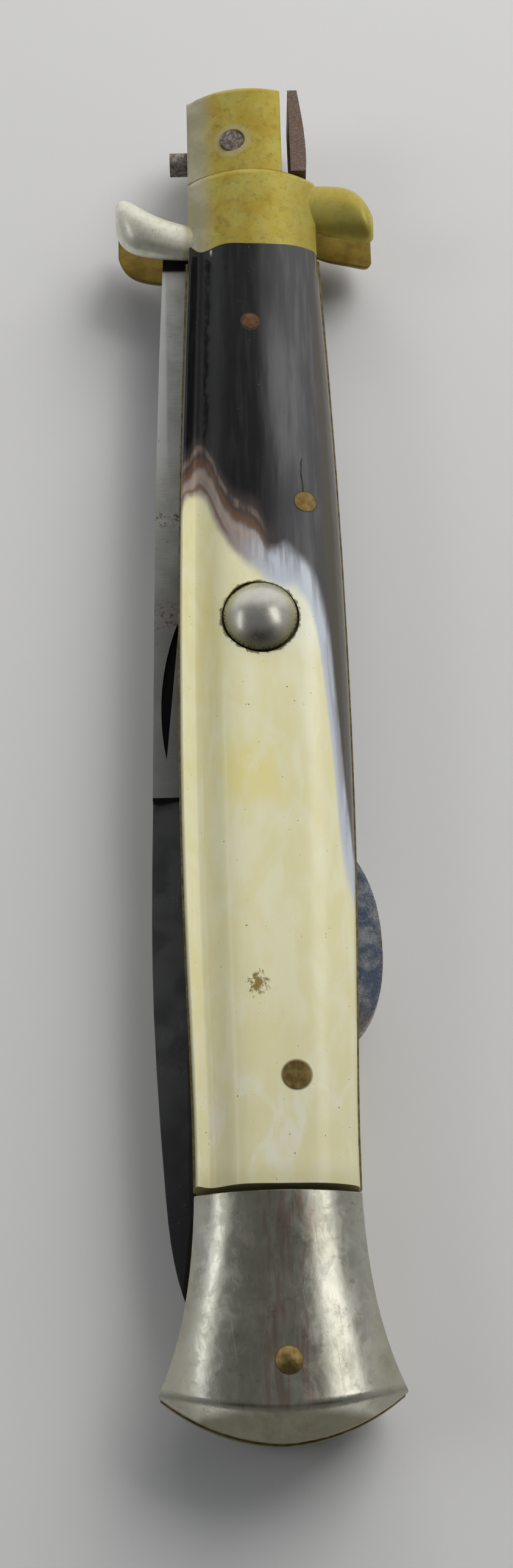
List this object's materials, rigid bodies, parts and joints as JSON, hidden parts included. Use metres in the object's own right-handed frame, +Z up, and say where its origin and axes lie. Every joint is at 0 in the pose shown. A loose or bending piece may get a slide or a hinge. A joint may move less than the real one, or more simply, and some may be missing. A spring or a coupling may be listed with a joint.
{
  "type": "push-button folding knife",
  "caption": "Slim push-button folding knife with curled guards, a flared pommel and a rocking back lock, lying closed.",
  "frame": {"origin": "on the flat outer face of the rear scale, on the handle's centre line, about halfway along it", "axes": "+Y along the handle from pommel to guard, +X towards the back lock, +Z up out of the front scale"},
  "size_m": [0.0252, 0.1301, 0.0137],
  "materials": {
    "brass_liner": "dull, tarnished",
    "scale_celluloid": "glossy, dark towards the guard and cream towards the pommel",
    "guard_brass": "olive patina, worn to grey on one side",
    "nickel_silver": "polished, fine scratches",
    "blade_steel": "satin, polished false edge, rust specks",
    "dark_steel": "rusty, dull",
    "spring_steel": "satin, rusty head",
    "brass_pin": "worn smooth",
    "copper_rivet": "dull copper colour",
    "nickel_button": "polished dome"
  },
  "bodies": {
    "handle": {"front_liner": "brass_liner", "rear_liner": "brass_liner", "front_scale": "scale_celluloid", "rear_scale": "scale_celluloid", "front_guard_bolster": "guard_brass", "rear_guard_bolster": "guard_brass", "front_pommel_bolster": "nickel_silver", "rear_pommel_bolster": "nickel_silver", "pivot_pin": "dark_steel", "lock_bar_pin": "brass_pin", "rear_spacer": "brass_liner", "spacer_pin": "brass_pin", "pommel_pin": "brass_pin", "kicker_pin": "dark_steel", "fulcrum_pin": "dark_steel", "button_spring": "spring_steel", "front_scale_rivet": "copper_rivet", "rear_scale_rivet": "copper_rivet"},
    "blade": {"blade": "blade_steel"},
    "lock_bar": {"lock_bar": "spring_steel"},
    "lock_bar_spring": {"lock_bar_spring": "spring_steel"},
    "kicker": {"kicker_spring": "spring_steel"},
    "button": {"button": "nickel_button"},
    "sear": {"sear_lever": "spring_steel", "sear_pin": "dark_steel"}
  },
  "joints": [
    {"name": "blade_pivot", "type": "hinge", "parent": "handle", "child": "blade", "pos_m": [-0.0017, 0.0585, 0.006], "axis": [0, 0, -1], "range_deg": [0, 180]},
    {"name": "lock_bar_rock", "type": "hinge", "parent": "handle", "child": "lock_bar", "pos_m": [0.0042, 0.0179, 0.006], "axis": [0, 0, -1], "range_deg": [-0.8, 1.4], "stiffness_Nm_per_rad": 2},
    {"name": "lock_spring_flex", "type": "hinge", "parent": "handle", "child": "lock_bar_spring", "pos_m": [0.0046, -0.0352, 0.006], "axis": [0, 0, 1], "range_deg": [-1.7, 2.9]},
    {"name": "kicker_flex", "type": "hinge", "parent": "handle", "child": "kicker", "pos_m": [0.0032, 0.027, 0.006], "axis": [0, 0, 1], "range_deg": [0, 1.1]},
    {"name": "button_press", "type": "slide", "parent": "handle", "child": "button", "axis": [0, 0, -1], "range_m": [0, 0.0006], "stiffness_N_per_m": 4000, "springref_m": -0.0002},
    {"name": "sear_lever_rock", "type": "hinge", "parent": "handle", "child": "sear", "pos_m": [-0.00275, 0.024, 0.00865], "axis": [1, 0, 0], "range_deg": [0, 2], "deforming": ["button_spring"]}
  ],
  "couplings": [
    {"joint": "lock_spring_flex", "follows": "lock_bar_rock", "ratio": 2},
    {"joint": "kicker_flex", "follows": "blade_pivot", "ratio": 0.006},
    {"joint": "sear_lever_rock", "follows": "button_press", "rad_per_m": 56}
  ]
}
